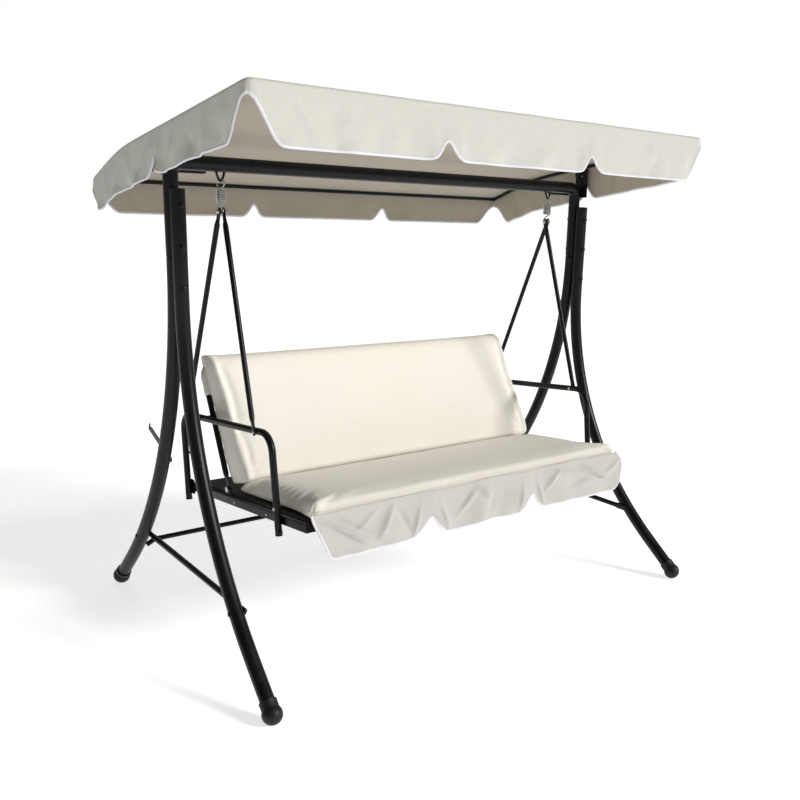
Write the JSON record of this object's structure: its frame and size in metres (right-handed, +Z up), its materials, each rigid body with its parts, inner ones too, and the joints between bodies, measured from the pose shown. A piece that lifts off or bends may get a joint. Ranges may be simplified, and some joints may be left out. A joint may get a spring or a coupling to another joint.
{
  "type": "canopy swing bench",
  "caption": "Garden swing bench hung on springs from a curved tubular steel stand, with a tilting scalloped canopy, arm loops, seat cushion, skirt and hinged backrest.",
  "frame": {"origin": "on the ground, at the centre of the footprint between the four ball feet", "axes": "+Z up, +X towards the right-hand side as seen from the front, +Y towards the back; the front faces -Y"},
  "size_m": [2.0948, 1.4282, 1.9064],
  "materials": {
    "powder_coated_steel": "satin black powder coat",
    "zinc_steel": "zinc plated",
    "black_plastic": "moulded, fine texture",
    "canopy_fabric": "coated polyester, plain weave",
    "cushion_fabric": "padded polyester, plain weave",
    "sling_mesh": "coated mesh"
  },
  "bodies": {
    "stand": {"corner_post_left": "powder_coated_steel", "corner_post_right": "powder_coated_steel", "foot_front_left": "black_plastic", "foot_front_right": "black_plastic", "foot_rear_left": "black_plastic", "foot_rear_right": "black_plastic", "front_leg_cap_left": "black_plastic", "front_leg_cap_right": "black_plastic", "front_leg_left": "powder_coated_steel", "front_leg_right": "powder_coated_steel", "post_bolt_left_1": "zinc_steel", "post_bolt_left_2": "zinc_steel", "post_bolt_left_3": "zinc_steel", "post_bolt_right_1": "zinc_steel", "post_bolt_right_2": "zinc_steel", "post_bolt_right_3": "zinc_steel", "rear_leg_hook_left": "powder_coated_steel", "rear_leg_left": "powder_coated_steel", "rear_leg_right": "powder_coated_steel", "rear_stretcher": "powder_coated_steel", "side_brace_left": "powder_coated_steel", "side_brace_right": "powder_coated_steel", "spring_loop_left": "powder_coated_steel", "spring_loop_right": "powder_coated_steel", "tilt_plate_left": "powder_coated_steel", "tilt_plate_right": "powder_coated_steel", "top_beam": "powder_coated_steel"},
    "canopy": {"canopy_fabric": "canopy_fabric", "canopy_front_rail": "powder_coated_steel", "canopy_pivot_bolt_left": "zinc_steel", "canopy_pivot_bolt_right": "zinc_steel", "canopy_rear_rail": "powder_coated_steel", "canopy_ridge_rail": "powder_coated_steel", "canopy_side_rail_left": "powder_coated_steel", "canopy_side_rail_right": "powder_coated_steel", "tilt_knob_left": "black_plastic", "tilt_knob_right": "black_plastic"},
    "swing": {"spring_left": "zinc_steel", "spring_right": "zinc_steel"},
    "seat": {"armrest_left": "powder_coated_steel", "armrest_right": "powder_coated_steel", "backrest_bracket_left": "powder_coated_steel", "backrest_bracket_right": "powder_coated_steel", "backrest_crossbar": "powder_coated_steel", "front_hanger_left": "powder_coated_steel", "front_hanger_right": "powder_coated_steel", "hanger_eye_bolt_left": "zinc_steel", "hanger_eye_bolt_right": "zinc_steel", "rear_hanger_left": "powder_coated_steel", "rear_hanger_right": "powder_coated_steel", "seat_cushion": "cushion_fabric", "seat_front_rail": "powder_coated_steel", "seat_rear_rail": "powder_coated_steel", "seat_side_rail_left": "powder_coated_steel", "seat_side_rail_right": "powder_coated_steel", "seat_skirt": "cushion_fabric", "seat_sling": "sling_mesh"},
    "backrest": {"backrest_frame": "powder_coated_steel", "back_cushion": "cushion_fabric"}
  },
  "joints": [
    {"name": "canopy_tilt", "type": "hinge", "parent": "stand", "child": "canopy", "pos_m": [0, 0.01, 1.7975], "axis": [1, 0, 0], "range_deg": [-20, 25]},
    {"name": "swing_to_and_fro", "type": "hinge", "parent": "stand", "child": "swing", "pos_m": [0, 0.0252, 1.652], "axis": [1, 0, 0], "range_deg": [-18, 18]},
    {"name": "spring_stretch", "type": "slide", "parent": "swing", "child": "seat", "axis": [0, 0, -1], "range_m": [0, 0.012], "stiffness_N_per_m": 20000, "springref_m": -0.025, "deforming": ["spring_left", "spring_right"]},
    {"name": "backrest_fold", "type": "hinge", "parent": "seat", "child": "backrest", "pos_m": [0, 0.108, 0.523], "axis": [1, 0, 0], "range_deg": [0, 22]}
  ]
}
